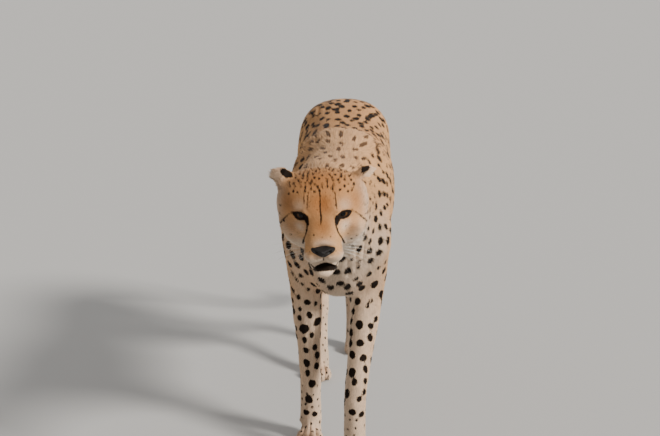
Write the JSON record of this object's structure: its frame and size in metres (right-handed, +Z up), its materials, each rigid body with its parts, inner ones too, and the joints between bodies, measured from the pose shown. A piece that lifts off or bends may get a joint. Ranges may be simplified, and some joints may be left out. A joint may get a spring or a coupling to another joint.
{
  "type": "cheetah",
  "caption": "Life-size still model of a walking cheetah with lowered head, small laid-back ears, deep chest, slim legs and long hanging tail, standing on its own paws.",
  "frame": {"origin": "on the floor, under the middle of the animal's bounding box", "axes": "+Z up, the head towards -Y, the animal's own left towards +X"},
  "size_m": [0.2716, 1.5726, 0.743],
  "materials": {
    "coat": "short tawny fur with solid dark spots",
    "pale_coat": "short cream fur with small dark spots",
    "eye": "wet amber eye with a round black pupil",
    "nose": "moist black nose leather",
    "claw": "dark blunt horn"
  },
  "bodies": {
    "root": {"head": "coat", "ear_left": "coat", "ear_right": "coat", "neck": "coat", "chest": "coat", "belly": "coat", "rump": "coat", "tail_root": "coat", "tail_middle": "coat", "tail_tip": "coat", "upper_foreleg_left": "coat", "upper_foreleg_right": "coat", "forearm_left": "coat", "forearm_right": "coat", "thigh_left": "coat", "thigh_right": "coat", "shank_left": "coat", "shank_right": "coat", "jaw": "pale_coat", "forepaw_left": "pale_coat", "forepaw_right": "pale_coat", "hindpaw_left": "pale_coat", "hindpaw_right": "pale_coat", "eye_left": "eye", "eye_right": "eye", "nose": "nose", "claw_front_left_1": "claw", "claw_front_left_2": "claw", "claw_front_left_3": "claw", "claw_front_left_4": "claw", "claw_front_right_1": "claw", "claw_front_right_2": "claw", "claw_front_right_3": "claw", "claw_front_right_4": "claw", "claw_hind_left_1": "claw", "claw_hind_left_2": "claw", "claw_hind_left_3": "claw", "claw_hind_left_4": "claw", "claw_hind_right_1": "claw", "claw_hind_right_2": "claw", "claw_hind_right_3": "claw", "claw_hind_right_4": "claw"}
  },
  "joints": []
}
